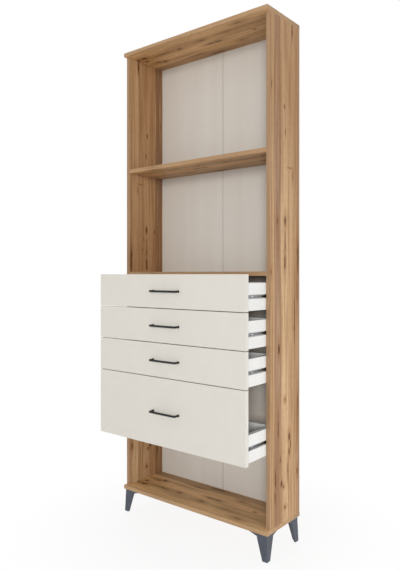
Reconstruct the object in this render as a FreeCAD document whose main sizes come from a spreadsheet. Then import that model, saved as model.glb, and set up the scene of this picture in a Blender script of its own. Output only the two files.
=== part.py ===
import FreeCAD, Part

import os
from types import SimpleNamespace

import Sketcher

# Bookcase with bottom drawers: a board carcass on four corner feet, with a fixed upper shelf,
# a bay of four overlay drawers on ball runners, and an open niche below the drawers.
# Millimetres, +Z up, the front faces -Y, +X is on the right of someone who faces the bookcase.
# The origin is on the floor, under the centre of the top and bottom boards.
# The drawers are drawn pulled out to the stop of their runners.

SIZES = {
    # Carcass boards
    "overall_width": 736,
    "overall_height": 1996,
    "board_depth": 232,
    "board_thickness": 16,
    "back_thickness": 3,
    "upper_shelf_height": 1474,
    "bay_shelf_height": 1026,
    "shelf_back_gap": 1.2,
    # H-section strip that joins the two halves of the back
    "strip_width": 6,
    "strip_skin": 0.8,
    "strip_web": 1.2,
    "strip_gap": 0.2,
    # Corner feet
    "foot_height": 96,
    "foot_inset": 6,
    "foot_splay": 3,
    "foot_wing": 44,
    "foot_flare": 88,
    "foot_wall": 9,
    "foot_collar": 13,
    "foot_toe": 21,
    "foot_toe_wall": 8,
    "foot_plate": 4,
    "foot_screw_edge": 9,
    # Drawer fronts
    "front_thickness": 16,
    "front_buffer_gap": 1.5,
    "front_side_reveal": 1,
    "front_spacing": 3,
    "front_lap": 6,
    "small_front_height": 129,
    "tall_front_height": 260,
    # Drawer boxes
    "box_rear_gap": 15,
    "box_height": 97,
    "box_lift": 1.5,
    "box_board": 16,
    "box_side_gap": 1.5,
    "runner_groove_gap": 0.4,
    "box_bottom_thickness": 3,
    "groove_height": 10,
    "groove_depth": 6,
    "groove_slack": 0.2,
    "bottom_slack": 0.5,
    # Ball runners: a channel on the carcass, a slide in a groove of the box side, and a cage of balls
    "runner_space": 10,
    "runner_sheet": 1,
    "channel_height": 14,
    "channel_depth": 8.2,
    "channel_lip": 2.4,
    "channel_setback": 2,
    "channel_rear_gap": 9.5,
    "runner_overlap": 60.5,
    "slide_gap": 0.8,
    "slide_setback": 3,
    "slide_hole": 4.4,
    "slide_hole_place": 82,
    "slide_slot_place": 57,
    "slide_slot_length": 20,
    "cage_setback": 3,
    "cage_sheet": 0.9,
    "cage_gap": 0.4,
    "ball_diameter": 2,
    "ball_gap": 0.1,
    "ball_edge": 1.8,
    # Bow handles
    "handle_centres": 128,
    "handle_projection": 27,
    "handle_rod": 8,
    "handle_bend": 6,
    "handle_foot": 10.5,
    "handle_foot_height": 5,
    # Fasteners
    "fastener_gap": 0.1,
    "carcass_screw_head": 10,
    "carcass_screw_head_height": 2.5,
    "carcass_screw_shank": 5,
    "carcass_screw_length": 50,
    "carcass_screw_edge": 55,
    "bolt_thread": 5,
    "bolt_thread_length": 10,
    "bolt_shank": 7,
    "bolt_neck": 4,
    "bolt_head": 6,
    "bolt_head_length": 3,
    "bolt_edge": 45,
    "cam_diameter": 15,
    "cam_height": 12.5,
    "cam_distance": 34,
    "foot_screw_head": 8,
    "foot_screw_head_height": 2.5,
    "foot_screw_shank": 4,
    "foot_screw_bite": 11,
    "channel_screw_head": 6,
    "channel_screw_shank": 3,
    "channel_screw_bite": 12,
    "channel_screw_end": 37,
    "slide_screw_head": 4.8,
    "slide_screw_head_height": 1.6,
    "slide_screw_shank": 3,
    "slide_screw_bite": 6,
    "slide_screw_start": 108,
    "slide_screw_end": 35,
    "handle_screw_head": 8,
    "handle_screw_head_height": 2.4,
    "handle_screw_shank": 4,
    "handle_screw_bite": 8,
    "nail_head": 3.6,
    "nail_head_height": 0.8,
    "nail_shank": 1.6,
    "nail_length": 18,
    "nail_end": 60,
    # Every cut starts this far outside the face that it enters
    "cut_overrun": 1,
}
NAIL_ROWS = 9
DRAWER_COUNT = 4
BALL_SHARES = (0.15, 0.5, 0.85)

doc = FreeCAD.newDocument("bookcase")
sheet = doc.addObject("Spreadsheet::Sheet", "Sizes")


class Size:
    """A length: its value in millimetres, and the sheet expression that gives it."""

    def __init__(self, value, text):
        self.value = value
        self.text = text

    def with_other(self, sign, other, value):
        return Size(value, f"({self.text} {sign} {text_of(other)})")

    def __add__(self, other):
        return self.with_other("+", other, self.value + value_of(other))

    def __sub__(self, other):
        return self.with_other("-", other, self.value - value_of(other))

    def __mul__(self, factor):
        return self.with_other("*", factor, self.value * factor)

    def __truediv__(self, divisor):
        return self.with_other("/", divisor, self.value / divisor)

    def __neg__(self):
        return self * -1


def value_of(size):
    return size.value if isinstance(size, Size) else size


def text_of(size):
    return size.text if isinstance(size, Size) else f"({size})"


def fill_sheet():
    """Write the driving sizes into the sheet and return them by name."""
    named = SimpleNamespace()
    for row, (name, value) in enumerate(SIZES.items(), start=1):
        sheet.set(f"A{row}", name)
        sheet.set(f"B{row}", str(value))
        sheet.setAlias(f"B{row}", name)
        setattr(named, name, Size(value, f"Sizes.{name}"))
    doc.recompute()
    return named


s = fill_sheet()
nodes = []

# Places that several pieces share
half_width = s.overall_width / 2
inner_half = half_width - s.board_thickness
side_middle = half_width - s.board_thickness / 2
board_front = -s.board_depth / 2
board_rear = s.board_depth / 2
side_front = board_front + s.front_thickness + s.front_buffer_gap
side_rear = board_rear - s.back_thickness
side_depth = side_rear - side_front
bay_bottom = s.foot_height + s.board_thickness
bay_top = s.overall_height - s.board_thickness
bay_height = bay_top - bay_bottom
shelf_rear = side_rear - s.shelf_back_gap
channel_front = side_front + s.channel_setback
channel_length = side_depth - s.channel_setback - s.channel_rear_gap
closed_box_rear = side_rear - s.box_rear_gap
box_length = closed_box_rear - board_front - s.front_thickness
slide_length = box_length - s.slide_setback
drawer_travel = closed_box_rear - channel_front - s.runner_overlap
front_face = board_front - drawer_travel
front_rear = front_face + s.front_thickness
box_rear = front_rear + box_length
box_half = inner_half - s.box_side_gap
box_inner_half = box_half - s.box_board
stack_top = s.bay_shelf_height + s.front_lap
ball_row = s.ball_diameter + s.ball_gap * 2

TURNS = {
    "+x": FreeCAD.Rotation(FreeCAD.Vector(0, 1, 0), 90),
    "-x": FreeCAD.Rotation(FreeCAD.Vector(0, 1, 0), -90),
    "+y": FreeCAD.Rotation(FreeCAD.Vector(1, 0, 0), -90),
    "-y": FreeCAD.Rotation(FreeCAD.Vector(1, 0, 0), 90),
    "+z": FreeCAD.Rotation(),
    "-z": FreeCAD.Rotation(FreeCAD.Vector(1, 0, 0), 180),
}


def bind(piece, name, size):
    piece.setExpression(name, text_of(size))


def place(piece, at, turn=FreeCAD.Rotation()):
    piece.Placement = FreeCAD.Placement(FreeCAD.Vector(), turn)
    for axis, size in zip("xyz", at):
        bind(piece, f"Placement.Base.{axis}", size)


def moved(at, axis, distance):
    """The point that lies a distance from another, along a signed axis."""
    step = distance if axis[0] == "+" else distance * -1
    return tuple(step + size if axis[1] == name else size for name, size in zip("xyz", at))


def block(name, size, at):
    piece = doc.addObject("Part::Box", name)
    for side, length in zip(("Length", "Width", "Height"), size):
        bind(piece, side, length)
    place(piece, at)
    return piece


def turned(name, at, axis, stages):
    """Coaxial stages of start diameter, end diameter and length, one after another along an axis."""
    pieces = []
    for start, end, length in stages:
        if start is end:
            piece = doc.addObject("Part::Cylinder", f"{name}_stage")
            bind(piece, "Radius", start / 2)
        else:
            piece = doc.addObject("Part::Cone", f"{name}_stage")
            bind(piece, "Radius1", start / 2)
            bind(piece, "Radius2", end / 2)
        bind(piece, "Height", length)
        place(piece, at, TURNS[axis])
        at = moved(at, axis, length)
        pieces.append(piece)
    return pieces[0] if len(pieces) == 1 else fused(name, pieces)


def hole(name, at, axis, diameter, depth):
    """A drill that enters at a point and goes in to a depth."""
    start = moved(at, axis, -s.cut_overrun)
    return turned(name, start, axis, [(diameter, diameter, depth + s.cut_overrun)])


def fused(name, pieces):
    piece = doc.addObject("Part::MultiFuse", name)
    piece.Shapes = pieces
    return piece


def grouped(name, pieces):
    piece = doc.addObject("Part::Compound", name)
    piece.Links = pieces
    return piece


def cut(name, base, tools):
    piece = doc.addObject("Part::Cut", name)
    piece.Base = base
    piece.Tool = tools[0] if len(tools) == 1 else grouped(f"{name}_cuts", tools)
    return piece


def mirrored(name, piece, normal=FreeCAD.Vector(1, 0, 0)):
    copy = doc.addObject("Part::Mirroring", name)
    copy.Source = piece
    copy.Normal = normal
    return copy


def pair(pieces):
    """The left-hand pieces with their right-hand twins."""
    return pieces + [mirrored(f"{piece.Name}_twin", piece) for piece in pieces]


def new_body(name):
    return doc.addObject("PartDesign::Body", name)


def outline(body, name, plane, points, lift=0):
    """A closed sketch through points, each point held by its two distances from the origin."""
    sketch = body.newObject("Sketcher::SketchObject", name)
    support = [feature for feature in body.Origin.OriginFeatures if feature.Role == plane][0]
    sketch.AttachmentSupport = [(support, "")]
    sketch.MapMode = "FlatFace"
    bind(sketch, "AttachmentOffset.Base.z", lift)
    corners = [FreeCAD.Vector(value_of(across), value_of(up)) for across, up in points]
    for start, end in zip(corners, corners[1:] + corners[:1]):
        sketch.addGeometry(Part.LineSegment(start, end))
    for index, point in enumerate(points):
        following = (index + 1) % len(points)
        sketch.addConstraint(Sketcher.Constraint("Coincident", index, 2, following, 1))
        for kind, axis, size in zip(("DistanceX", "DistanceY"), (-2, -1), point):
            if isinstance(size, Size):
                limit = Sketcher.Constraint(kind, -1, 1, index, 1, size.value)
                row = sketch.addConstraint(limit)
                sketch.setExpression(f"Constraints[{row}]", size.text)
            else:
                sketch.addConstraint(Sketcher.Constraint("PointOnObject", index, 1, axis))
    return sketch


def padded(body, name, sketch, length, backwards=False):
    pad = body.newObject("PartDesign::Pad", name)
    pad.Profile = sketch
    pad.Reversed = backwards
    bind(pad, "Length", length)
    return pad


def bar(name, points, length, at):
    """A section in X and Z, drawn from its own corner and carried along +Y."""
    body = new_body(name)
    sketch = outline(body, f"{name}_section", "XZ_Plane", points)
    padded(body, f"{name}_length", sketch, length, backwards=True)
    place(body, at)
    return body


def keep(piece, name):
    """Make a finished piece a node of the part."""
    piece.Label = name
    nodes.append(piece)


def carcass_screw_stages(gap):
    head = s.carcass_screw_head + gap * 2
    shank = s.carcass_screw_shank + gap * 2
    head_height = s.carcass_screw_head_height
    return [(head, shank, head_height), (shank, shank, s.carcass_screw_length - head_height + gap)]


def carcass_screws(kind, gap):
    """Countersunk screws down through the top board and up through the bottom board, on the left."""
    screws = []
    for along in (side_front + s.carcass_screw_edge, side_rear - s.carcass_screw_edge):
        for axis, height in (("-z", s.overall_height), ("+z", s.foot_height)):
            at = (-side_middle, along, height)
            screws.append(turned(f"carcass_{kind}", at, axis, carcass_screw_stages(gap)))
    return screws


def shelf_bolt_places():
    """Where the bolts of each shelf leave the left side, as y and z, and which way the cams face."""
    for height, faces in ((s.upper_shelf_height, "up"), (s.bay_shelf_height, "down")):
        for along in (side_front + s.bolt_edge, shelf_rear - s.bolt_edge):
            yield along, height + s.board_thickness / 2, faces


def shelf_bolts():
    bolts = []
    for across, height, _ in shelf_bolt_places():
        at = (-inner_half - s.bolt_thread_length, across, height)
        shank_length = s.cam_distance - s.cam_diameter / 2
        neck_length = s.cam_diameter / 2 - s.bolt_head_length / 2
        stages = [
            (s.bolt_thread, s.bolt_thread, s.bolt_thread_length),
            (s.bolt_shank, s.bolt_shank, shank_length),
            (s.bolt_neck, s.bolt_neck, neck_length),
            (s.bolt_head, s.bolt_head, s.bolt_head_length),
        ]
        bolts.append(turned("shelf_bolt", at, "+x", stages))
    return bolts


def shelf_bolt_thread_holes():
    diameter = s.bolt_thread + s.fastener_gap * 2
    depth = s.bolt_thread_length + s.fastener_gap
    places = shelf_bolt_places()
    return [hole("bolt_thread_hole", (-inner_half, y, z), "-x", diameter, depth) for y, z, _ in places]


def shelf_bolt_bores(wanted):
    """Bores along the shelf from its end to just past the cam's centre, for the shelf that faces a way."""
    diameter = s.bolt_shank + s.fastener_gap * 2
    depth = s.cam_distance + s.bolt_head_length / 2 + s.fastener_gap
    places = [(y, z) for y, z, faces in shelf_bolt_places() if faces == wanted]
    return [hole("bolt_bore", (-inner_half, y, z), "+x", diameter, depth) for y, z in places]


def shelf_cams(wanted, gap):
    """Round cams let into the face of a shelf that nobody sees."""
    cams = []
    diameter = s.cam_diameter + gap * 2
    for across, height, faces in shelf_bolt_places():
        if faces != wanted:
            continue
        rise = s.board_thickness / 2 if faces == "up" else -s.board_thickness / 2
        axis = "-z" if faces == "up" else "+z"
        at = (-inner_half + s.cam_distance, across, height + rise)
        cams.append(turned("shelf_cam", at, axis, [(diameter, diameter, s.cam_height + gap)]))
    return cams


def make_shelf(name, height, faces):
    """A fixed shelf between the sides, bored for its bolts and cams."""
    size = (inner_half * 2, shelf_rear - side_front, s.board_thickness)
    board = block(f"{name}_board", size, (-inner_half, side_front, height))
    bores = pair(shelf_bolt_bores(faces) + shelf_cams(faces, s.fastener_gap))
    keep(cut(name, board, bores), name)


def back_nails(kind, gap):
    """Nails through the back into the rear edge of the left side, heads flush."""
    head = s.nail_head + gap * 2
    shank = s.nail_shank + gap * 2
    stages = [(head, head, s.nail_head_height), (shank, shank, s.nail_length - s.nail_head_height + gap)]
    pitch = (bay_height - s.nail_end * 2) / (NAIL_ROWS - 1)
    nails = []
    for row in range(NAIL_ROWS):
        at = (-side_middle, board_rear, bay_bottom + s.nail_end + pitch * row)
        nails.append(turned(f"back_{kind}", at, "-y", stages))
    return nails


def front_height(number):
    return s.tall_front_height if number == DRAWER_COUNT else s.small_front_height


def front_bottom(number):
    """The fronts hang below one another, the first one lapping the shelf over the drawers."""
    above = (s.small_front_height + s.front_spacing) * (number - 1)
    return stack_top - above - front_height(number)


def box_floor(number):
    return front_bottom(number) + s.box_lift


def channel_floor(number):
    return box_floor(number) + (s.box_height - s.channel_height) / 2


def channel_screw_places(number):
    for along in (s.channel_screw_end, channel_length - s.channel_screw_end):
        yield channel_front + along, channel_floor(number) + s.channel_height / 2


def channel_screws(kind, number, gap):
    """Countersunk screws that hold a channel to the left side, heads flush with its web."""
    head = s.channel_screw_head + gap * 2
    shank = s.channel_screw_shank + gap * 2
    stages = [(head, shank, s.runner_sheet), (shank, shank, s.channel_screw_bite + gap)]
    screws = []
    for along, height in channel_screw_places(number):
        at = (-inner_half + s.runner_sheet, along, height)
        screws.append(turned(f"channel_{kind}", at, "-x", stages))
    return screws


def make_channels():
    """Rolled channels with inturned lips, a pair for each drawer, and their screws."""
    depth, height, sheet_metal, lip = s.channel_depth, s.channel_height, s.runner_sheet, s.channel_lip
    section = [
        (0, 0),
        (depth, 0),
        (depth, lip),
        (depth - sheet_metal, lip),
        (depth - sheet_metal, sheet_metal),
        (sheet_metal, sheet_metal),
        (sheet_metal, height - sheet_metal),
        (depth - sheet_metal, height - sheet_metal),
        (depth - sheet_metal, height - lip),
        (depth, height - lip),
        (depth, height),
        (0, height),
    ]
    channels = []
    screws = []
    for number in range(1, DRAWER_COUNT + 1):
        at = (-inner_half, channel_front, channel_floor(number))
        rolled = bar(f"channel_{number}_rolled", section, channel_length, at)
        channels.append(cut(f"channel_{number}", rolled, channel_screws("hole", number, s.fastener_gap)))
        screws += channel_screws("screw", number, 0)
    keep(grouped("cabinet_runners", pair(channels)), "cabinet_runners")
    keep(grouped("cabinet_runner_screws", pair(screws)), "cabinet_runner_screws")


def channel_screw_holes():
    numbers = range(1, DRAWER_COUNT + 1)
    return [tool for number in numbers for tool in channel_screws("bore", number, s.fastener_gap)]


def make_carcass():
    """Top and bottom boards over the ends of the sides, shelves between them and a two-part back."""
    screw_holes = carcass_screws("hole", s.fastener_gap)
    nail_holes = back_nails("nail_hole", s.fastener_gap)
    board_size = (s.overall_width, s.board_depth, s.board_thickness)
    for name, height in (("top_panel", bay_top), ("bottom_panel", s.foot_height)):
        board = block(f"{name}_board", board_size, (-half_width, board_front, height))
        tools = pair(screw_holes)
        if name == "bottom_panel":
            tools += foot_screw_set("bore", s.fastener_gap)
        keep(cut(name, board, tools), name)

    side_size = (s.board_thickness, side_depth, bay_height)
    side = block("side_board", side_size, (-half_width, side_front, bay_bottom))
    tools = screw_holes + nail_holes + shelf_bolt_thread_holes() + channel_screw_holes()
    left_side = cut("left_side_panel", side, tools)
    keep(left_side, "left_side_panel")
    keep(mirrored("right_side_panel", left_side), "right_side_panel")

    make_shelf("upper_shelf", s.upper_shelf_height, "up")
    make_shelf("drawer_bay_shelf", s.bay_shelf_height, "down")

    half_back = half_width - s.strip_web / 2 - s.strip_gap
    back_size = (half_back, s.back_thickness, bay_height)
    half = block("back_board", back_size, (-half_width, side_rear, bay_bottom))
    left_back = cut("left_back_panel", half, nail_holes)
    keep(left_back, "left_back_panel")
    keep(mirrored("right_back_panel", left_back), "right_back_panel")
    make_joint_strip()

    keep(grouped("carcass_screws", pair(carcass_screws("screw", 0))), "carcass_screws")
    keep(grouped("shelf_bolts", pair(shelf_bolts())), "shelf_bolts")
    cams = []
    for faces in ("up", "down"):
        bores = shelf_bolt_bores(faces)
        for cam, bore in zip(shelf_cams(faces, 0), bores):
            cams.append(cut("bored_cam", cam, [bore]))
    keep(grouped("shelf_cams", pair(cams)), "shelf_cams")
    keep(grouped("back_nails", pair(back_nails("nail", 0))), "back_nails")


def make_joint_strip():
    """Extruded H-section that grips the inner edges of both halves of the back."""
    web_size = (s.strip_web, s.back_thickness, bay_height)
    skin_size = (s.strip_width, s.strip_skin, bay_height)
    web = block("strip_web_bar", web_size, (-s.strip_web / 2, side_rear, bay_bottom))
    inner = block("strip_inner_skin", skin_size, (-s.strip_width / 2, side_rear - s.strip_skin, bay_bottom))
    outer = block("strip_outer_skin", skin_size, (-s.strip_width / 2, board_rear, bay_bottom))
    keep(fused("back_joint_strip", [web, inner, outer]), "back_joint_strip")


def corner_section(start, wing, wall):
    """An L of two wings, its outer corner a distance in from the sketch's origin."""
    return [
        (start, start),
        (start + wing, start),
        (start + wing, start + wall),
        (start + wall, start + wall),
        (start + wall, start + wing),
        (start, start + wing),
    ]


def foot_corner():
    """The outer corner of the front left foot, where it meets the floor."""
    inset = s.foot_inset - s.foot_splay
    return inset - half_width, board_front + inset


def foot_screws(kind, gap):
    """Three screws up through the plate of the front left foot."""
    left, front = foot_corner()
    near = s.foot_splay + s.foot_wall + s.foot_screw_edge
    far = s.foot_splay + s.foot_wing - s.foot_screw_edge
    head = s.foot_screw_head + gap * 2
    shank = s.foot_screw_shank + gap * 2
    head_height = s.foot_screw_head_height
    stages = [(head, head, head_height), (shank, shank, s.foot_plate + s.foot_screw_bite + gap)]
    bottom = s.foot_height - s.foot_plate - head_height
    places = ((near, far), (far, near), (far, far))
    return [turned(f"foot_{kind}", (left + x, front + y, bottom), "+z", stages) for x, y in places]


def foot_screw_set(kind, gap):
    """The screws of all four feet."""
    front_pair = pair(foot_screws(kind, gap))
    to_rear = FreeCAD.Vector(0, 1, 0)
    return front_pair + [mirrored(f"{screw.Name}_rear", screw, to_rear) for screw in front_pair]


def make_feet():
    """Moulded corner feet: two wings flared out under the board, tapering and splaying to the toe."""
    body = new_body("foot_moulding")
    near, far = s.foot_splay, s.foot_splay + s.foot_wing
    plate_points = [(near, near), (far, near), (far, far), (near, far)]
    plate = outline(body, "plate_outline", "XY_Plane", plate_points, s.foot_height - s.foot_plate)
    padded(body, "plate", plate, s.foot_plate)
    brow_points = corner_section(s.foot_splay, s.foot_flare, s.foot_wall)
    brow = outline(body, "brow_outline", "XY_Plane", brow_points, s.foot_height)
    ankle_points = corner_section(s.foot_splay, s.foot_wing, s.foot_wall)
    ankle = outline(body, "ankle_outline", "XY_Plane", ankle_points, s.foot_height - s.foot_collar)
    toe_points = [
        (0, 0),
        (s.foot_toe, 0),
        (s.foot_toe, s.foot_toe_wall),
        (s.foot_toe_wall, s.foot_toe_wall),
        (s.foot_toe_wall, s.foot_toe),
        (0, s.foot_toe),
    ]
    toe = outline(body, "toe_outline", "XY_Plane", toe_points)
    leg = body.newObject("PartDesign::AdditiveLoft", "leg")
    leg.Profile = brow
    leg.Sections = [ankle, toe]
    leg.Ruled = True
    left, front = foot_corner()
    place(body, (left, front, 0))
    front_left = cut("front_left_foot", body, foot_screws("hole", s.fastener_gap))
    to_rear = FreeCAD.Vector(0, 1, 0)
    rear_left = mirrored("rear_left_foot", front_left, to_rear)
    keep(front_left, "front_left_foot")
    keep(mirrored("front_right_foot", front_left), "front_right_foot")
    keep(rear_left, "rear_left_foot")
    keep(mirrored("rear_right_foot", rear_left), "rear_right_foot")
    keep(grouped("foot_screws", foot_screw_set("screw", 0)), "foot_screws")


def handle_height(number):
    return front_bottom(number) + front_height(number) / 2


def handle_screw_holes(number):
    """Drills from the back of a front, through it and into the legs of its handle."""
    diameter = s.handle_screw_shank + s.fastener_gap * 2
    depth = s.front_thickness + s.handle_screw_bite + s.fastener_gap
    at = (-s.handle_centres / 2, front_rear, handle_height(number))
    return pair([hole("handle_screw_hole", at, "-y", diameter, depth)])


def make_front(number):
    """Faced board with a groove for the drawer bottom and two holes for the handle."""
    name = f"drawer_{number}_front"
    half = half_width - s.front_side_reveal
    size = (half * 2, s.front_thickness, front_height(number))
    board = block(f"{name}_board", size, (-half, front_face, front_bottom(number)))
    keep(cut(name, board, [bottom_groove(number)] + handle_screw_holes(number)), name)


def bottom_groove(number):
    """One cutter for the groove that runs round the box and holds its bottom."""
    reach = box_inner_half + s.groove_depth
    depth = box_length - s.box_board + s.groove_depth * 2
    size = (reach * 2, depth, s.box_bottom_thickness + s.groove_slack)
    at = (-reach, front_rear - s.groove_depth, box_floor(number) + s.groove_height)
    return block(f"drawer_{number}_groove", size, at)


def runner_groove(number):
    """A cutter for the groove along the outer face of the left side, which takes in the whole runner."""
    height = s.channel_height + s.runner_groove_gap * 2
    depth = s.runner_space - s.box_side_gap + s.cut_overrun
    at = (-box_half - s.cut_overrun, front_rear - s.cut_overrun, channel_floor(number) - s.runner_groove_gap)
    return block(f"drawer_{number}_runner_groove", (depth, box_length + s.cut_overrun * 2, height), at)


def make_box(number):
    """Two sides on the back of the front, a back between them and a thin bottom in the groove."""
    floor = box_floor(number)
    groove = bottom_groove(number)
    side_size = (s.box_board, box_length, s.box_height)
    side = block(f"drawer_{number}_side_board", side_size, (-box_half, front_rear, floor))
    bores = slide_screws("bore", number, s.fastener_gap)
    left = cut(f"drawer_{number}_left_side", side, [groove, runner_groove(number)] + bores)
    keep(left, f"drawer_{number}_left_side")
    keep(mirrored(f"drawer_{number}_right_side", left), f"drawer_{number}_right_side")
    back_size = (box_inner_half * 2, s.box_board, s.box_height)
    back = block(f"drawer_{number}_back_board", back_size, (-box_inner_half, box_rear - s.box_board, floor))
    keep(cut(f"drawer_{number}_back", back, [groove]), f"drawer_{number}_back")
    reach = box_inner_half + s.groove_depth - s.bottom_slack
    depth = box_length - s.box_board + (s.groove_depth - s.bottom_slack) * 2
    bottom_at = (-reach, front_rear - s.groove_depth + s.bottom_slack, floor + s.groove_height)
    bottom = block(f"drawer_{number}_bottom", (reach * 2, depth, s.box_bottom_thickness), bottom_at)
    keep(bottom, f"drawer_{number}_bottom")


def slide_screws(kind, number, gap):
    """Pan-head screws that hold a slide to the floor of the groove in the left side of its box."""
    head = s.slide_screw_head + gap * 2
    shank = s.slide_screw_shank + gap * 2
    head_height = s.slide_screw_head_height
    stages = [(head, head, head_height), (shank, shank, s.runner_sheet + s.slide_screw_bite + gap)]
    across = s.runner_space - inner_half - s.runner_sheet - head_height
    front = front_rear + s.slide_setback
    height = box_floor(number) + s.box_height / 2
    screws = []
    for along in (s.slide_screw_start, slide_length - s.slide_screw_end):
        screws.append(turned(f"slide_{kind}", (across, front + along, height), "+x", stages))
    return screws


def make_slides(number):
    """The inner members: channels that open outwards, with a spare slot and hole ahead of their screws."""
    near = s.runner_sheet + s.cage_gap + s.cage_sheet + s.slide_gap
    far = s.runner_space
    low = s.runner_sheet + ball_row
    high = s.channel_height - low
    sheet_metal = s.runner_sheet
    section = [
        (near, low),
        (far, low),
        (far, high),
        (near, high),
        (near, high - sheet_metal),
        (far - sheet_metal, high - sheet_metal),
        (far - sheet_metal, low + sheet_metal),
        (near, low + sheet_metal),
    ]
    front = front_rear + s.slide_setback
    at = (-inner_half, front, channel_floor(number))
    rolled = bar(f"slide_{number}_rolled", section, slide_length, at)
    tools = slide_screws("hole", number, s.fastener_gap)
    height = box_floor(number) + s.box_height / 2
    web = s.runner_space - inner_half - sheet_metal
    slot_reach = (s.slide_slot_length - s.slide_hole) / 2
    slot_middle = front + s.slide_slot_place
    for along in (slot_middle - slot_reach, slot_middle + slot_reach, front + s.slide_hole_place):
        tools.append(hole("slide_open_hole", (web, along, height), "+x", s.slide_hole, sheet_metal))
    slot_size = (sheet_metal + s.cut_overrun, slot_reach * 2, s.slide_hole)
    slot_at = (web - s.cut_overrun, slot_middle - slot_reach, height - s.slide_hole / 2)
    tools.append(block("slide_slot", slot_size, slot_at))
    slide = cut(f"slide_{number}", rolled, tools)
    keep(grouped(f"drawer_{number}_slides", pair([slide])), f"drawer_{number}_slides")
    screws = pair(slide_screws("screw", number, 0))
    keep(grouped(f"drawer_{number}_slide_screws", screws), f"drawer_{number}_slide_screws")


def make_ball_cages(number):
    """Moulded cages that ride half way between channel and slide, with a row of balls above and below."""
    row_low = s.runner_sheet + ball_row / 2
    row_high = s.channel_height - row_low
    near = s.runner_sheet + s.cage_gap
    far = s.channel_depth - s.runner_sheet - s.cage_gap
    low, high = row_low - s.cage_sheet / 2, row_high + s.cage_sheet / 2
    section = [
        (near, low),
        (far, low),
        (far, low + s.cage_sheet),
        (near + s.cage_sheet, low + s.cage_sheet),
        (near + s.cage_sheet, high - s.cage_sheet),
        (far, high - s.cage_sheet),
        (far, high),
        (near, high),
    ]
    front = channel_front + s.cage_setback
    length = s.runner_overlap - s.cage_setback * 2
    moulded = bar(f"cage_{number}_moulded", section, length, (-inner_half, front, channel_floor(number)))
    socket = s.ball_diameter + s.ball_gap * 2
    balls = []
    sockets = []
    for share in BALL_SHARES:
        for row in (row_low, row_high):
            height = channel_floor(number) + row
            at = (far - s.ball_edge - inner_half, front + length * share, height)
            ball = doc.addObject("Part::Sphere", f"ball_{number}")
            bind(ball, "Radius", s.ball_diameter / 2)
            place(ball, at)
            balls.append(ball)
            entry = moved(at, "-z", s.cage_sheet / 2)
            sockets.append(hole("ball_socket", entry, "+z", socket, s.cage_sheet + s.cut_overrun))
    cage = cut(f"cage_{number}", moulded, sockets)
    keep(grouped(f"drawer_{number}_ball_cages", pair([cage] + balls)), f"drawer_{number}_ball_cages")


def make_handle(number):
    """Round rod bent to a bow, on two legs that flare at the front, and its screws from behind."""
    name = f"drawer_{number}_handle"
    height = handle_height(number)
    leg_length = s.handle_projection - s.handle_rod / 2 - s.handle_bend
    bend_at = front_face - leg_length
    bar_half = s.handle_centres / 2 - s.handle_bend
    leg_stages = [
        (s.handle_foot, s.handle_rod, s.handle_foot_height),
        (s.handle_rod, s.handle_rod, leg_length - s.handle_foot_height),
    ]
    leg = turned(f"{name}_leg", (-s.handle_centres / 2, front_face, height), "-y", leg_stages)
    bend = doc.addObject("Part::Torus", f"{name}_bend")
    bind(bend, "Radius1", s.handle_bend)
    bind(bend, "Radius2", s.handle_rod / 2)
    bend.Angle3 = 90
    place(bend, (-bar_half, bend_at, height), FreeCAD.Rotation(FreeCAD.Vector(0, 0, 1), 180))
    grip = turned(f"{name}_grip", (-bar_half, bend_at - s.handle_bend, height), "+x",
                  [(s.handle_rod, s.handle_rod, bar_half * 2)])
    rod = fused(f"{name}_rod", pair([leg, bend]) + [grip])
    keep(cut(name, rod, handle_screw_holes(number)), name)
    head, shank = s.handle_screw_head, s.handle_screw_shank
    head_height = s.handle_screw_head_height
    stages = [(head, head, head_height), (shank, shank, s.front_thickness + s.handle_screw_bite)]
    screw = turned(f"{name}_screw", (-s.handle_centres / 2, front_rear + head_height, height), "-y", stages)
    keep(grouped(f"{name}_screws", pair([screw])), f"{name}_screws")


def make_drawer(number):
    make_front(number)
    make_box(number)
    make_slides(number)
    make_ball_cages(number)
    make_handle(number)


def check_model():
    """Stop before anything is written if a feature failed or a piece is not a sound solid."""
    doc.recompute()
    failed = [piece.Name for piece in doc.Objects if {"Invalid", "Error"} & set(piece.State)]
    if failed:
        raise RuntimeError(f"features failed: {failed}")
    for piece in nodes:
        shape = piece.Shape
        if shape.isNull() or not shape.isValid() or not shape.Solids:
            raise RuntimeError(f"{piece.Label} is not a sound solid")


def write_parts():
    os.makedirs("parts", exist_ok=True)
    for piece in nodes:
        piece.Shape.exportStep(f"parts/{piece.Label}.step")
    print(f"{len(nodes)} nodes written")


make_carcass()
make_feet()
make_channels()
for drawer in range(1, DRAWER_COUNT + 1):
    make_drawer(drawer)
check_model()
write_parts()
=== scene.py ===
import math

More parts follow.
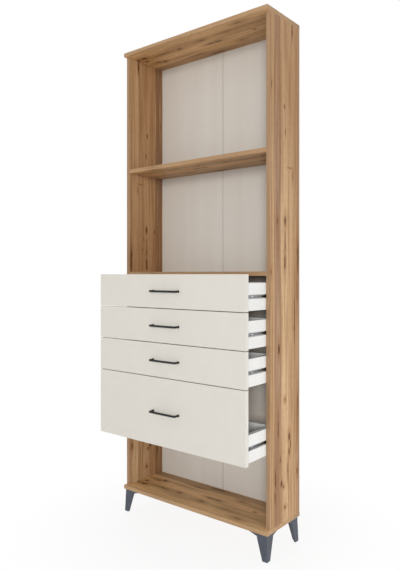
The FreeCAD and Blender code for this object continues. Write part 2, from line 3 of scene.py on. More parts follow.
import bmesh
import bpy
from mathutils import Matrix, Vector


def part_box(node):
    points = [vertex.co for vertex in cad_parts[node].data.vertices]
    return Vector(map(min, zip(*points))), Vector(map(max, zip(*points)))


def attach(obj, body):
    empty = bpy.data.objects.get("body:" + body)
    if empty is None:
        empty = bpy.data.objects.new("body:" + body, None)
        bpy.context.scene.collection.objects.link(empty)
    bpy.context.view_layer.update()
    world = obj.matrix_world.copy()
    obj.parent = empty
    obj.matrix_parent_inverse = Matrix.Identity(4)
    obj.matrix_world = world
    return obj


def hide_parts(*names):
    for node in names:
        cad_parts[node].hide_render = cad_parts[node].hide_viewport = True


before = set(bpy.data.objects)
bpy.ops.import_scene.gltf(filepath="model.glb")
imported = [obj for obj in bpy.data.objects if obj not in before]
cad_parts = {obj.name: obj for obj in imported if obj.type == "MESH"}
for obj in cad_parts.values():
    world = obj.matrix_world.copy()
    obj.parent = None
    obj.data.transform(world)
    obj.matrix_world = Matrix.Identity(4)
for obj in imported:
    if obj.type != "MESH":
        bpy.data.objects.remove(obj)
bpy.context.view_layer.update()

# Side panels: two uprights of 16 mm chipboard, faced with printed melamine and edged in the same decor.
# The paper shows a rustic oak in staves of honey and mauve brown, with knots and drying cracks.
# Both show the same knots, back to front of each other. The left one's staves carry painted shade: paler
# at the front and darker in its rear stave, deepening into the carcass.

MM = 0.001
BOARD_ARRIS = 0.7 * MM
SAME_POINT = 0.005 * MM
FLAT_LIMIT = math.radians(1)
ARRIS_LIMIT = math.radians(50)

# Where each stave starts across the print, in millimetres from its middle, and its tone.
PRINT_HALF = 140
HONEY, PALE_HONEY, TAN, MAUVE, UMBER = "#BB966F", "#C9A67F", "#B18C67", "#9E7D62", "#A58263"
# Painted shade: the left panel's chestnut rear stave and paler front staves stand in for shade deepening
# towards the back.
CHESTNUT_PAINTED_SHADE = "#806248"
RIGHT_STAVES = (
    (-140, TAN), (-84, HONEY), (-70, MAUVE), (-20, PALE_HONEY), (26, HONEY), (66, TAN), (98, UMBER),
)
LEFT_STAVES_WITH_PAINTED_SHADE = (
    (-140, CHESTNUT_PAINTED_SHADE), (-48, TAN), (-20, HONEY), (26, TAN), (60, PALE_HONEY), (98, TAN),
)

# Knots, cracks and the butt end of a stave: place across and along, width, length, all in millimetres,
# and how faint each is, from 0 for black brown to 1, above which only a soft shade is left.
SIDE_KNOTS = (
    (2, 1655, 9, 26, 0.35), (10, 1563, 9, 26, 0.35), (48, 1433, 36, 6, 0.7), (63, 1408, 6, 46, 0.5),
    (-47, 1225, 12, 26, 0.6), (7, 1228, 14, 48, 0.0), (7, 1140, 9, 130, 0.5), (6, 1075, 11, 66, 0.1),
    (102, 1100, 16, 170, 0.4), (96, 960, 12, 150, 0.7), (76, 855, 8, 210, 0.1), (-38, 755, 15, 52, 0.0),
    (6, 565, 12, 18, 0.5), (-42, 470, 9, 110, 0.4), (37, 421, 14, 34, 0.1), (47, 392, 7, 40, 0.2),
    (36, 363, 11, 30, 0.2), (-61, 282, 10, 80, 0.1), (-64, 215, 9, 60, 0.4), (26, 305, 9, 50, 0.6),
    (-48, 220, 44, 300, 1.3), (-18, 257, 17, 28, 0.0), (-5, 243, 13, 16, 0.3), (5, 165, 13, 16, 0.4),
    (100, 535, 16, 150, 0.7), (97, 275, 11, 36, 0.4), (59, 1950, 11, 70, 0.0), (-88, 1720, 8, 70, 0.7),
    # The soft shades at 1760 to 1840 mm along make the head of the panels darker.
    (34, 1830, 24, 330, 1.3), (86, 1760, 26, 360, 1.4), (-90, 1040, 9, 26, 0.6), (-28, 350, 14, 90, 0.75),
    (5, 1840, 90, 400, 1.35),
)

# The left panel also has one broad painted shade over its middle compartment, darkest low down, written
# in the same way.
LEFT_PAINTED_SHADE = (30, 1140, 140, 300, 1.05)

# Staves blend over 2 mm to each side of a joint, whose line wanders and bows out round the knots.
# Then come how ragged a knot's outline is, and how dark its halo and the pores are drawn.
STAVE_BLEND = 2
STAVE_WANDER = 16 * MM
KNOT_BOW = 3 * MM
KNOT_RAGGED = 1.1
HALO_DEPTH = 0.45
PORE_DEPTH = 0.3


def linear(code):
    """An sRGB hex colour as the linear colour that a shader takes."""
    channels = [int(code[i:i + 2], 16) / 255 for i in (1, 3, 5)]
    return [c / 12.92 if c <= 0.04045 else ((c + 0.055) / 1.055) ** 2.4 for c in channels] + [1.0]


def add(tree, kind, sockets=None, stops=(), **settings):
    """Adds a shader node: its settings, its sockets from values or other nodes, and a ramp's stops."""
    made = tree.nodes.new("ShaderNode" + kind)
    for name, value in settings.items():
        setattr(made, name, value)
    for name, value in (sockets or {}).items():
        if isinstance(value, bpy.types.Node):
            value = value.outputs[0]
        if isinstance(value, bpy.types.NodeSocket):
            tree.links.new(value, made.inputs[name])
        else:
            made.inputs[name].default_value = value
    for number, (place, colour) in enumerate(stops):
        ramp = made.color_ramp.elements
        stop = ramp[number] if number < len(ramp) else ramp.new(place)
        stop.position = place
        stop.color = linear(colour)
    return made


def new_finish(name, **sockets):
    """A new material, with what is the same all over it set on its shader's own sockets."""
    finish = bpy.data.materials.new(name)
    finish.use_nodes = True
    shader = finish.node_tree.nodes["Principled BSDF"]
    for socket, value in sockets.items():
        shader.inputs[socket.replace("_", " ")].default_value = value
    return finish, finish.node_tree, shader


def per(width, length, depth=1000):
    """The texture scale at which a pattern repeats about every so many millimetres, along each axis."""
    return [1 / (size * MM) for size in (width, length, depth)]


def oak_decor(name, face, grain, across, start, staves, knots):
    """Printed oak melamine: satin, toned stave by stave, with fine pores pressed along the grain.

    face is the way the broad sides look, grain and across are the print's directions on the board,
    and start is added to a place across, which counts it from the print's middle on the side that shows.
    """
    finish, tree, shader = new_finish(name, IOR=1.5, Specular_IOR_Level=0.2)
    spot = add(tree, "TexCoord")
    over_axis = add(tree, "VectorMath", {0: spot.outputs["Object"], 1: across}, operation="DOT_PRODUCT")
    over = add(tree, "Math", {0: over_axis.outputs["Value"], 1: start}, operation="ADD")
    along = add(tree, "VectorMath", {0: spot.outputs["Object"], 1: grain}, operation="DOT_PRODUCT")
    paper = add(tree, "CombineXYZ", {"X": over, "Y": along.outputs["Value"]})

    # How far each point lies from the nearest knot, as a share of its half width and half length.
    # The dark core ends near 1, ragged along the grain, and a brown halo has faded out by 3.4.
    nearest = None
    for over_mm, along_mm, width, length, faint in knots:
        size = (2 / (width * MM), 2 / (length * MM), 1.0)
        shift = (-over_mm * MM * size[0], -along_mm * MM * size[1], faint)
        centred = add(tree, "Mapping", {"Vector": paper, "Scale": size, "Location": shift})
        reach = add(tree, "VectorMath", {0: centred}, operation="LENGTH").outputs["Value"]
        nearest = add(tree, "Math", {0: nearest, 1: reach}, operation="MINIMUM") if nearest else reach
    ragged_place = add(tree, "Mapping", {"Vector": paper, "Scale": per(5, 24)})
    ragged = add(tree, "TexNoise", {"Vector": ragged_place, "Scale": 1.0, "Detail": 2.0},
                 noise_dimensions="2D")
    outline = add(tree, "Math", {0: ragged, 1: KNOT_RAGGED, 2: nearest}, operation="MULTIPLY_ADD")
    knot = add(tree, "MapRange", {"Value": outline, "From Min": 1.7, "From Max": 1.0, "To Max": 0.92},
               interpolation_type="SMOOTHSTEP")
    halo = add(tree, "MapRange", {"Value": nearest, "From Min": 3.4, "From Max": 0.8},
               interpolation_type="SMOOTHSTEP")

    # Staves: their edges wander a little along the board and bow round the knots.
    wander_place = add(tree, "Mapping", {"Vector": paper, "Scale": per(90, 420)})
    wander = add(tree, "TexNoise", {"Vector": wander_place, "Scale": 1.0, "Detail": 1.0},
                 noise_dimensions="2D")
    bowed = add(tree, "Math", {0: halo, 1: KNOT_BOW, 2: over}, operation="MULTIPLY_ADD")
    bent = add(tree, "Math", {0: wander, 1: STAVE_WANDER, 2: bowed}, operation="MULTIPLY_ADD")
    centred = add(tree, "Math", {0: bent, 1: STAVE_WANDER / 2}, operation="SUBTRACT")
    share = add(tree, "MapRange", {"Value": centred, "From Min": -PRINT_HALF * MM,
                                   "From Max": PRINT_HALF * MM})
    stops = []
    for (begin, tone), (end, _) in zip(staves, staves[1:] + ((PRINT_HALF, None),)):
        for edge in (begin + STAVE_BLEND, end - STAVE_BLEND):
            stops.append(((edge + PRINT_HALF) / (2 * PRINT_HALF), tone))
    wood = add(tree, "ValToRGB", {"Fac": share}, stops=stops)

    # Cloudy drift of tone, 40 by 330 mm, then growth streaks 8 mm wide with finer ones inside them.
    grain_paper = add(tree, "CombineXYZ", {"X": bent, "Y": along.outputs["Value"]})
    drift_place = add(tree, "Mapping", {"Vector": grain_paper, "Scale": per(40, 330)})
    drift = add(tree, "TexNoise", {"Vector": drift_place, "Scale": 1.0, "Detail": 2.0},
                noise_dimensions="2D")
    drift_dark = add(tree, "MapRange", {"Value": drift, "From Min": 0.48, "From Max": 0.75,
                                        "To Max": 0.5})
    wood = add(tree, "MixRGB", {"Fac": drift_dark, "Color1": wood, "Color2": linear("#8E6740")})
    streak_place = add(tree, "Mapping", {"Vector": grain_paper, "Scale": per(8, 520)})
    streaks = add(tree, "TexNoise", {"Vector": streak_place, "Scale": 1.0, "Detail": 4.0,
                                     "Roughness": 0.62}, noise_dimensions="2D")
    streak_dark = add(tree, "MapRange", {"Value": streaks, "From Min": 0.5, "From Max": 0.74,
                                         "To Max": 0.55})
    wood = add(tree, "MixRGB", {"Fac": streak_dark, "Color1": wood, "Color2": linear("#80562E")})
    streak_pale = add(tree, "MapRange", {"Value": streaks, "From Min": 0.47, "From Max": 0.27,
                                         "To Max": 0.5})
    wood = add(tree, "MixRGB", {"Fac": streak_pale, "Color1": wood, "Color2": linear("#D9B98C")})

    # Pores: real ones are 0.2 mm wide, drawn 1.4 mm wide and 30 mm long so that they show.
    pore_place = add(tree, "Mapping", {"Vector": grain_paper, "Scale": per(1.4, 30)})
    pore_noise = add(tree, "TexNoise", {"Vector": pore_place, "Scale": 1.0, "Detail": 1.0},
                     noise_dimensions="2D")
    pores = add(tree, "MapRange", {"Value": pore_noise, "From Min": 0.58, "From Max": 0.72})
    pore_dark = add(tree, "Math", {0: pores, 1: PORE_DEPTH}, operation="MULTIPLY")
    wood = add(tree, "MixRGB", {"Fac": pore_dark, "Color1": wood, "Color2": linear("#6B4524")})
    halo_dark = add(tree, "Math", {0: halo, 1: HALO_DEPTH}, operation="MULTIPLY")
    wood = add(tree, "MixRGB", {"Fac": halo_dark, "Color1": wood, "Color2": linear("#8C5C2E")})
    wood = add(tree, "MixRGB", {"Fac": knot, "Color1": wood, "Color2": linear("#573210")})

    # Edging: 1 mm strip in the plainest part of the decor, so the edges look evenly tan.
    looks = add(tree, "VectorMath", {0: spot.outputs["Normal"], 1: face}, operation="DOT_PRODUCT")
    flatness = add(tree, "Math", {0: looks.outputs["Value"]}, operation="ABSOLUTE")
    edging = add(tree, "MapRange", {"Value": flatness, "From Min": 0.6, "From Max": 0.3, "To Max": 0.72})
    wood = add(tree, "MixRGB", {"Fac": edging, "Color1": wood, "Color2": linear("#9C7F63")})
    tree.links.new(wood.outputs["Color"], shader.inputs["Base Color"])

    # The press plate leaves a satin face with pores and knots sunk in it, and the pores are duller.
    rough = add(tree, "MapRange", {"Value": pores, "To Min": 0.46, "To Max": 0.62})
    tree.links.new(rough.outputs["Result"], shader.inputs["Roughness"])
    sunk = add(tree, "Math", {0: pores, 1: knot}, operation="ADD")
    relief = add(tree, "Bump", {"Height": sunk, "Strength": 0.35, "Distance": 0.12 * MM}, invert=True)
    tree.links.new(relief.outputs["Normal"], shader.inputs["Normal"])
    return finish


def soften(node, radius):
    """Rounds a board's edges: joins points that the file keeps apart, clears flat faces, then bevels."""
    weld = node.modifiers.new("joined points", "WELD")
    weld.merge_threshold = SAME_POINT
    flat = node.modifiers.new("flat faces", "DECIMATE")
    flat.decimate_type = "DISSOLVE"
    flat.angle_limit = FLAT_LIMIT
    arris = node.modifiers.new("eased arris", "BEVEL")
    arris.width = radius
    arris.segments = 2
    arris.limit_method = "ANGLE"
    arris.angle_limit = ARRIS_LIMIT
    shade = node.modifiers.new("flat faces shaded flat", "WEIGHTED_NORMAL")
    shade.keep_sharp = False


def dress(name, finish, radius=None):
    """Gives a piece of the frame its finish, and eased edges where it has them."""
    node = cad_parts[name]
    node.material_slots[0].material = finish
    if radius:
        soften(node, radius)


UPRIGHT = {"face": (1, 0, 0), "grain": (0, 0, 1)}
left_low, left_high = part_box("left_side_panel")
side_middle = left_low[1] + left_high[1]
right_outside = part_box("right_side_panel")[1][0]
right_oak = oak_decor("oak_decor_right_side", across=(1, 1, 0), start=-right_outside,
                      staves=RIGHT_STAVES, knots=SIDE_KNOTS, **UPRIGHT)
left_oak = oak_decor("oak_decor_left_side", across=(1, -1, 0), start=side_middle - left_high[0],
                     staves=LEFT_STAVES_WITH_PAINTED_SHADE, knots=SIDE_KNOTS + (LEFT_PAINTED_SHADE,), **UPRIGHT)
dress("right_side_panel", right_oak, BOARD_ARRIS)
dress("left_side_panel", left_oak, BOARD_ARRIS)

# Top and bottom boards: the same 16 mm oak-look board over and under the sides, with the grain crosswise.
# They reach forward of the sides by a little more than a drawer front, so closed drawers end flush.
# Both show the same knots to the inside. Their staves are painted lighter than the sides' oak, as painted
# light for their dimmer faces, and the bottom board's are lighter still.

# Painted light: gold and amber are the oak's tones lightened, standing in for light on the lying boards.
PALE_GOLD_PAINTED_LIGHT, GOLD_PAINTED_LIGHT, AMBER_PAINTED_LIGHT = "#EDC08A", "#E0B582", "#D3A773"
TOP_STAVES_PAINTED_LIGHT = ((-140, GOLD_PAINTED_LIGHT), (-58, AMBER_PAINTED_LIGHT), (-26, GOLD_PAINTED_LIGHT), (24, AMBER_PAINTED_LIGHT), (66, HONEY))
BOTTOM_STAVES_PAINTED_LIGHT = ((-140, PALE_GOLD_PAINTED_LIGHT), (-58, GOLD_PAINTED_LIGHT), (-26, PALE_GOLD_PAINTED_LIGHT), (24, GOLD_PAINTED_LIGHT), (66, HONEY))
CROSS_KNOTS = (
    (34, -262, 16, 26, 0.1), (22, -292, 18, 50, 0.7), (63, -92, 8, 74, 0.3), (3, 16, 11, 44, 0.25),
    (4, 55, 12, 44, 0.1), (-33, -121, 12, 26, 0.2), (-35, -215, 12, 110, 0.6), (-50, -312, 18, 46, 0.0),
    (-15, -326, 14, 26, 0.2), (-48, -350, 14, 30, 0.0), (1, 237, 8, 12, 0.3), (54, 142, 14, 34, 0.7),
    (96, -10, 22, 120, 0.6), (-45, 5, 16, 44, 0.6), (-88, 218, 16, 44, 0.7), (-50, 130, 12, 60, 0.75),
)
LYING = {"face": (0, 0, 1), "across": (0, 1, 1), "knots": CROSS_KNOTS}
bottom_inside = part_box("bottom_panel")[1][2]
top_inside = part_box("top_panel")[0][2]
bottom_oak = oak_decor("oak_decor_bottom_panel", grain=(1, 0, 0), start=-bottom_inside,
                       staves=BOTTOM_STAVES_PAINTED_LIGHT, **LYING)
top_oak = oak_decor("oak_decor_top_panel", grain=(1, 0, 0), start=-top_inside,
                    staves=TOP_STAVES_PAINTED_LIGHT, **LYING)
dress("bottom_panel", bottom_oak, BOARD_ARRIS)
dress("top_panel", top_oak, BOARD_ARRIS)

# Carcass screws: eight steel screws with countersunk hexagon-socket heads, plated with zinc.
# They go through the top and bottom boards into the ends of the sides, and their heads end flush.

# The steps round a turned shape, the angle above which its edges stay sharp, and half the width
# of a cross recess's arm as a share of its reach.
TURN_STEPS = 32
SHARP_EDGE = math.radians(35)
CROSS_ARM = 0.3


def plated_steel(name, colour, pale, rough, streak):
    """Zinc-plated steel: a metal grey with a soft cloudy sheen and rolling or turning lines."""
    finish, tree, shader = new_finish(name, Metallic=1.0)
    place = add(tree, "TexCoord").outputs["Object"]
    line_place = add(tree, "Mapping", {"Vector": place, "Scale": streak})
    lines = add(tree, "TexNoise", {"Vector": line_place, "Scale": 1.0, "Detail": 3.0})
    tint = add(tree, "ValToRGB", {"Fac": lines}, stops=((0.3, colour), (0.7, pale)))
    tree.links.new(tint.outputs["Color"], shader.inputs["Base Color"])
    sheen = add(tree, "MapRange", {"Value": lines, "To Min": rough - 0.08, "To Max": rough + 0.1})
    tree.links.new(sheen.outputs["Result"], shader.inputs["Roughness"])
    return finish


# Zinc on small turned heads: a bright grey, clouded every 2.5 mm or so.
zinc_fastener = plated_steel("zinc_plated_fastener", "#A9ABAD", "#C6C8C9", rough=0.35,
                             streak=per(2.5, 2.5, 2.5))


def copies(node):
    """The boxes of a node's separate solids, found by walking over the points that faces join."""
    solids = bmesh.new()
    solids.from_mesh(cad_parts[node].data)
    bmesh.ops.remove_doubles(solids, verts=solids.verts, dist=SAME_POINT)
    found = []
    for first in solids.verts:
        if first.tag:
            continue
        first.tag = True
        walk, points = [first], []
        while walk:
            point = walk.pop()
            points.append(point.co.copy())
            for edge in point.link_edges:
                other = edge.other_vert(point)
                if not other.tag:
                    other.tag = True
                    walk.append(other)
        found.append([Vector(map(side, zip(*points))) for side in (min, max)])
    solids.free()
    return found


def plain_round(angle):
    """A turned rim, the same all round."""
    return 1.0


def cross_recess(angle):
    """The outline of a cross recess: four arms, each at its full reach until its width ends it."""
    fold = abs((angle + math.pi / 4) % (math.pi / 2) - math.pi / 4)
    return min(1.0, CROSS_ARM / max(math.sin(fold), CROSS_ARM))


def hexagon_socket(angle):
    """The outline of a hexagon socket, as a share of its corners' reach."""
    return math.cos(math.pi / 6) / math.cos(angle % (math.pi / 3) - math.pi / 6)


def turned_fasteners(node, rings, head_way, body="carcass"):
    """Puts detailed fasteners in the place of a node's plain ones, copy for copy.

    Each ring is its depth below the head's top, as a length or None for the far end, its radius as a
    share of the head's, and its outline. head_way gives the way a head looks, from its fastener's middle.
    """
    work = bmesh.new()
    for low, high in copies(node):
        middle, size = (low + high) / 2, high - low
        way = Vector(head_way(middle))
        length = abs(size.dot(way))
        head_radius = min(size) / 2
        stand = way.to_track_quat("Z", "Y").to_matrix()
        loops = []
        for depth, share, outline in rings:
            level = length / 2 - (length if depth is None else depth)
            loop = []
            for step in range(TURN_STEPS):
                angle = 2 * math.pi * step / TURN_STEPS
                reach = head_radius * share * outline(angle)
                spoke = Vector((reach * math.cos(angle), reach * math.sin(angle), level))
                loop.append(work.verts.new(middle + stand @ spoke))
            loops.append(loop)
        work.faces.new(loops[0])
        for inner, outer in zip(loops, loops[1:]):
            for step in range(TURN_STEPS):
                work.faces.new((inner[step], inner[step - 1], outer[step - 1], outer[step]))
        work.faces.new(reversed(loops[-1]))
    mesh = bpy.data.meshes.new(node + "_turned")
    work.to_mesh(mesh)
    work.free()
    mesh.shade_smooth()
    mesh.set_sharp_from_angle(angle=SHARP_EDGE)
    mesh.materials.append(zinc_fastener)
    piece = bpy.data.objects.new(node + "_turned", mesh)
    bpy.context.collection.objects.link(piece)
    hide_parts(node)
    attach(piece, body)


SOCKET_HEAD = (
    (2.4 * MM, 0.36, hexagon_socket), (0, 0.42, hexagon_socket), (0, 0.97, plain_round),
    (0.2 * MM, 1.0, plain_round), (2.5 * MM, 0.5, plain_round), (None, 0.5, plain_round),
)
half_height = top_inside / 2
turned_fasteners("carcass_screws", SOCKET_HEAD,
                 head_way=lambda at: (0, 0, math.copysign(1, at.z - half_height)))

# Shelves: two fixed boards of the same oak-look chipboard between the sides, grain crosswise.
# Each is held by four bolts and their cams, and was cut with the print turned end for end.

SHELVES = ("upper_shelf", "drawer_bay_shelf")
# The shelves' amber staves are painted lighter, as painted light on their undersides, like the top and
# bottom boards.
SHELF_STAVES_PAINTED_LIGHT = ((-140, AMBER_PAINTED_LIGHT), (-58, HONEY), (-26, AMBER_PAINTED_LIGHT), (24, HONEY), (92, TAN))
undersides = [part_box(shelf)[0][2] for shelf in SHELVES]
for shelf, underside in zip(SHELVES, undersides):
    shelf_oak = oak_decor("oak_decor_" + shelf, grain=(-1, 0, 0), start=-underside,
                          staves=SHELF_STAVES_PAINTED_LIGHT, **LYING)
    dress(shelf, shelf_oak, BOARD_ARRIS)

# Shelf bolts and cams: plated steel bolts in the sides, and zinc cams sunk in the shelves that lock them.
# The upper shelf's cams are on its upper face, and the lower one's are underneath, over the drawers.

CAM = (
    (3.0 * MM, 0.3, cross_recess), (0, 0.52, cross_recess), (0, 0.95, plain_round),
    (0.4 * MM, 1.0, plain_round), (None, 1.0, plain_round),
)
between_shelves = sum(undersides) / len(undersides)
dress("shelf_bolts", zinc_fastener)
turned_fasteners("shelf_cams", CAM,
                 head_way=lambda at: (0, 0, math.copysign(1, at.z - between_shelves)))

# Back: two halves of 3 mm hardboard, lacquered beige on the room side and bare brown behind.
# They are nailed to the rear edges of the sides and meet in a strip down the middle.

HARDBOARD_ARRIS = 0.3 * MM


def lacquered_hardboard(name):
    """Hardboard: a smooth beige lacquer coat in front, and a felted brown fibre face behind."""
    finish, tree, shader = new_finish(name, IOR=1.5)
    place = add(tree, "TexCoord")
    facing = add(tree, "SeparateXYZ", {"Vector": place.outputs["Normal"]})
    rear = add(tree, "MapRange", {"Value": facing.outputs["Y"], "From Min": 0.4, "From Max": 0.6})

    # The lacquer is rolled on up the sheet, in bands about 60 mm wide that hardly differ.
    mottle_place = add(tree, "Mapping", {"Vector": place.outputs["Object"], "Scale": per(60, 60)})
    mottle = add(tree, "TexNoise", {"Vector": mottle_place, "Scale": 1.0, "Detail": 3.0})
    lacquer = add(tree, "ValToRGB", {"Fac": mottle}, stops=((0.3, "#CBC5BC"), (0.7, "#CFCAC2")))

    # Fibre bundles are about 1 mm long, drawn 2.5 mm so that they show.
    fibre_place = add(tree, "Mapping", {"Vector": place.outputs["Object"], "Scale": per(2.5, 2.5, 2.5)})
    fibre = add(tree, "TexNoise", {"Vector": fibre_place, "Scale": 1.0, "Detail": 5.0, "Distortion": 1.5})
    bare = add(tree, "ValToRGB", {"Fac": fibre},
               stops=((0.3, "#6B4C34"), (0.5, "#87643F"), (0.7, "#A07C53")))
    colour = add(tree, "MixRGB", {"Fac": rear, "Color1": lacquer, "Color2": bare})
    tree.links.new(colour.outputs["Color"], shader.inputs["Base Color"])
    rough = add(tree, "MapRange", {"Value": rear, "To Min": 0.42, "To Max": 0.85})
    tree.links.new(rough.outputs["Result"], shader.inputs["Roughness"])
    depth = add(tree, "MapRange", {"Value": rear, "To Min": 0.02, "To Max": 0.5})
    relief = add(tree, "Bump", {"Height": fibre, "Strength": depth, "Distance": 0.3 * MM})
    tree.links.new(relief.outputs["Normal"], shader.inputs["Normal"])
    return finish


hardboard = lacquered_hardboard("lacquered_hardboard")
for half in ("left_back_panel", "right_back_panel"):
    dress(half, hardboard, HARDBOARD_ARRIS)

# Joint strip: an H section extruded in plastic, a shade darker than the lacquer.
# It is pushed on between the two halves of the back, and hides their seam from both sides.

STRIP_ARRIS = 0.2 * MM
MOTTLE = 45 * MM
GRIT_HEIGHT = 0.2 * MM


def pressed_plain(name, colour, pale, rough, grit, depth, gloss=0.5):
    """A plain decor or moulding: one colour, slightly mottled, with a fine pressed or eroded grit.

    The grit is drawn a few times coarser than the real one, so that it shows.
    """
    finish, tree, shader = new_finish(name, IOR=1.5, Roughness=rough, Specular_IOR_Level=gloss)
    place = add(tree, "TexCoord").outputs["Object"]
    mottle = add(tree, "TexNoise", {"Vector": place, "Scale": 1 / MOTTLE, "Detail": 3.0})
    tint = add(tree, "ValToRGB", {"Fac": mottle}, stops=((0.3, colour), (0.7, pale)))
    tree.links.new(tint.outputs["Color"], shader.inputs["Base Color"])
    grain = add(tree, "TexNoise", {"Vector": place, "Scale": 1 / grit, "Detail": 2.0})
    relief = add(tree, "Bump", {"Height": grain, "Strength": depth, "Distance": GRIT_HEIGHT})
    tree.links.new(relief.outputs["Normal"], shader.inputs["Normal"])
    return finish


# PVC pushed through a polished die: nearly smooth, with a dull sheen.
strip_plastic = pressed_plain("extruded_strip", "#BAB3AA", "#BFB9B0", rough=0.4, grit=2 * MM, depth=0.03)
dress("back_joint_strip", strip_plastic, STRIP_ARRIS)

# Back nails: eighteen plated wire nails with flat heads, nine down each side.
# They are driven through the hardboard into the rear edges of the side panels.

NAIL = (
    (0, 0.4, plain_round), (0, 0.85, plain_round), (0.2 * MM, 1.0, plain_round),
    (0.8 * MM, 1.0, plain_round), (0.8 * MM, 0.44, plain_round), (None, 0.44, plain_round),
)
turned_fasteners("back_nails", NAIL, head_way=lambda at: (0, 1, 0))

# Feet: four corner feet moulded in grey plastic, each an L of two wings under a screw plate.
# The wings flare out under the board, and taper and splay to the toe.

FOOT_ARRIS = 0.8 * MM

# ABS from an eroded mould: a dull blue grey, with a fine grain that spreads its highlights.
foot_plastic = pressed_plain("eroded_foot_plastic", "#3E434D", "#464B56", rough=0.5, grit=0.9 * MM,
                             depth=0.25)
for foot in ("front_left_foot", "front_right_foot", "rear_left_foot", "rear_right_foot"):
    dress(foot, foot_plastic, FOOT_ARRIS)

# Foot screws: three plated pan-head screws in each foot's plate, twelve in all.
# They are driven up through the plate into the bottom board.


def pan_head(height):
    """The rings of a screw with a cross recess in a domed head of this height."""
    return (
        (1.5 * MM, 0.3, cross_recess), (0, 0.55, cross_recess), (0, 0.62, plain_round),
        (0.3 * MM, 0.86, plain_round), (0.9 * MM, 1.0, plain_round), (height, 1.0, plain_round),
        (height, 0.5, plain_round), (None, 0.5, plain_round),
    )


turned_fasteners("foot_screws", pan_head(2.5 * MM), head_way=lambda at: (0, 0, -1))

# Cabinet runners: the outer channels of the ball runners, rolled from zinc-plated strip.
# Each is fixed to its side panel by two countersunk screws, whose heads lie flush in the channel.

# Rolling leaves fine lines along the strip, drawn 1.1 mm wide so that they show.
zinc_runner = plated_steel("zinc_plated_runner", "#85878A", "#A3A5A8", rough=0.32,
                           streak=per(1.1, 85, 1.1))
FLUSH_HEAD = (
    (0.9 * MM, 0.28, cross_recess), (0, 0.52, cross_recess), (0, 0.98, plain_round),
    (0.1 * MM, 1.0, plain_round), (1.0 * MM, 0.5, plain_round), (None, 0.5, plain_round),
)
dress("cabinet_runners", zinc_runner)
turned_fasteners("cabinet_runner_screws", FLUSH_HEAD,
                 head_way=lambda at: (-math.copysign(1, at.x), 0, 0))

# Drawer fronts: 16 mm chipboard in plain cream melamine, as wide as the carcass, over its sides' edges.
# The edging is a thicker strip of the same cream, with a rounded arris.

DRAWERS = [f"drawer_{number}" for number in (1, 2, 3, 4)]
FRONT_ARRIS = 1.0 * MM

# Melamine pressed against a finely blasted plate: an even cream with a soft satin sheen.
cream_front = pressed_plain("cream_front_melamine", "#D7D3CA", "#D9D5CC", rough=0.42, grit=1.2 * MM,
                            depth=0.05)
for drawer in DRAWERS:
    dress(drawer + "_front", cream_front, FRONT_ARRIS)

# Drawer boxes: sides and back of 16 mm board in white melamine, glued and dowelled, and a 3 mm bottom.
# A groove along each side takes the runner, so that the box nearly fills the carcass.

BOX_ARRIS = 0.4 * MM

# The same pressed face as the fronts in white, a little duller.
white_board = pressed_plain("white_box_melamine", "#E1E1DF", "#E5E5E3", rough=0.45, grit=1.2 * MM,
                            depth=0.05)
for drawer in DRAWERS:
    for board in ("left_side", "right_side", "back", "bottom"):
        dress(f"{drawer}_{board}", white_board, BOX_ARRIS)

# Handles: 8 mm steel rod bent to a bow, with legs that flare where they meet the front.
# The powder coat is an anthracite satin, and two screws from inside the box hold each one.

# Powder flows together in the oven and leaves a faint peel, which keeps highlights small and soft.
anthracite = pressed_plain("anthracite_powder_coat", "#19191C", "#1F1F23", rough=0.4, grit=0.6 * MM,
                           depth=0.15, gloss=0.25)
for drawer in DRAWERS:
    dress(drawer + "_handle", anthracite)
    turned_fasteners(drawer + "_handle_screws", pan_head(2.4 * MM), head_way=lambda at: (0, 1, 0),
                     body=drawer)

# Drawer slides: the runners' inner members, rolled from the same strip, with a slot and a hole to fix by.
# Two low-headed screws hold each one in its groove.

LOW_HEAD = (
    (0.9 * MM, 0.3, cross_recess), (0, 0.55, cross_recess), (0, 0.7, plain_round),
    (0.3 * MM, 0.92, plain_round), (0.7 * MM, 1.0, plain_round), (1.6 * MM, 1.0, plain_round),
    (1.6 * MM, 0.62, plain_round), (None, 0.62, plain_round),
)
for drawer in DRAWERS:
    dress(drawer + "_slides", zinc_runner)
    turned_fasteners(drawer + "_slide_screws", LOW_HEAD,
                     head_way=lambda at: (math.copysign(1, at.x), 0, 0), body=drawer)

# Ball cages: black moulded strips between slide and channel that keep the steel balls apart.
# They roll half as far as their drawer.

# Acetal straight from the mould: nearly black, with a dull even skin.
cage_plastic = pressed_plain("black_cage_plastic", "#1C1C1E", "#222224", rough=0.5, grit=0.8 * MM,
                             depth=0.1)
for drawer in DRAWERS:
    dress(drawer + "_ball_cages", cage_plastic)

# Floor: one flat sheet of pale painted studio floor, which belongs to the stage.
# It takes a soft shadow near the bookcase and turns to plain white further out.

FLOOR_HALF = 12.0
SHADOW_REACH = (0.25, 0.9)
NEAR_WHITE = 0.88


def background_rays(tree):
    """1 for the rays that show a background: the camera's, and those that glass and metal send on."""
    ray = add(tree, "LightPath")
    seen = add(tree, "Math", {0: ray.outputs["Is Camera Ray"], 1: ray.outputs["Is Transmission Ray"]},
               operation="MAXIMUM")
    return add(tree, "Math", {0: seen, 1: ray.outputs["Is Glossy Ray"]}, operation="MAXIMUM")


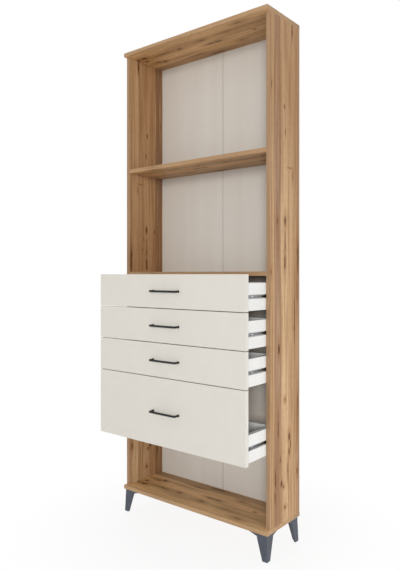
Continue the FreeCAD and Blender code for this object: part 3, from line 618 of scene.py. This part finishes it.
floor_mesh = bpy.data.meshes.new("studio_floor")
corners = [(x * FLOOR_HALF, y * FLOOR_HALF, 0.0) for x, y in ((-1, -1), (1, -1), (1, 1), (-1, 1))]
floor_mesh.from_pydata(corners, [], [(0, 1, 2, 3)])
floor = bpy.data.objects.new("studio_floor", floor_mesh)
bpy.context.collection.objects.link(floor)
floor_paint, tree, shader = new_finish("pale_floor_paint", Roughness=0.5, IOR=1.45)
shader.inputs["Base Color"].default_value = linear("#F8F7F6")
place = add(tree, "TexCoord").outputs["Object"]
away = add(tree, "VectorMath", {0: place}, operation="LENGTH").outputs["Value"]
faded = add(tree, "MapRange", {"Value": away, "From Min": SHADOW_REACH[0], "From Max": SHADOW_REACH[1],
                               "To Min": NEAR_WHITE, "To Max": 1.0}, interpolation_type="SMOOTHSTEP")
white_share = add(tree, "Math", {0: faded, 1: background_rays(tree)}, operation="MULTIPLY")
white = add(tree, "Emission", {"Color": linear("#FFFFFF"), "Strength": 1.0})
floor_look = add(tree, "MixShader", {0: white_share, 1: shader, 2: white})
tree.links.new(floor_look.outputs[0], tree.nodes["Material Output"].inputs["Surface"])
floor_mesh.materials.append(floor_paint)

# Studio: a white cove all round, which is also the background that the camera and the metal see.
# A large soft box stands far off to the front right, and a weak one stands low beside the right panel.

AMBIENT = 0.56
LAMPS = {
    "front_soft_box": {"place": (6.6, -9.7, 2.4), "side": 2.4, "watts": 650},
    "right_soft_box": {"place": (1.75, -0.1, 0.3), "side": 0.6, "watts": 5.0},
}
AIM = Vector((0, 0, 0.8))
world = bpy.data.worlds.new("white_cove")
bpy.context.scene.world = world
world.use_nodes = True
sky = world.node_tree
level = add(sky, "MapRange", {"Value": background_rays(sky), "To Min": AMBIENT, "To Max": 1.0})
cove = sky.nodes["Background"]
cove.inputs["Color"].default_value = linear("#FFFFFF")
sky.links.new(level.outputs["Result"], cove.inputs["Strength"])
for lamp_name, lamp in LAMPS.items():
    data = bpy.data.lights.new(lamp_name, "AREA")
    data.size = lamp["side"]
    data.energy = lamp["watts"]
    soft_box = bpy.data.objects.new(lamp_name, data)
    soft_box.location = lamp["place"]
    soft_box.rotation_euler = (AIM - soft_box.location).to_track_quat("-Z", "Y").to_euler()
    bpy.context.collection.objects.link(soft_box)

# Camera: level, at about chest height to the right of the bookcase, turned 39 degrees to its left.
# It looks level so that the uprights stay parallel, and a small shift of the lens sets the height.

CAMERA_PLACE = (1.465, -1.852, 1.032)
LEVEL_TILT = math.radians(90)
LEFT_TURN = math.radians(39)
LENS = 36.16
SENSOR_WIDTH = 36
LENS_SHIFT = -0.0189
camera_data = bpy.data.cameras.new("camera")
camera_data.lens = LENS
camera_data.sensor_width = SENSOR_WIDTH
camera_data.shift_y = LENS_SHIFT
camera = bpy.data.objects.new("camera", camera_data)
camera.location = CAMERA_PLACE
camera.rotation_euler = (LEVEL_TILT, 0, LEFT_TURN)
bpy.context.collection.objects.link(camera)
bpy.context.scene.camera = camera
bpy.context.scene.view_settings.view_transform = "Standard"

bpy.context.view_layer.update()
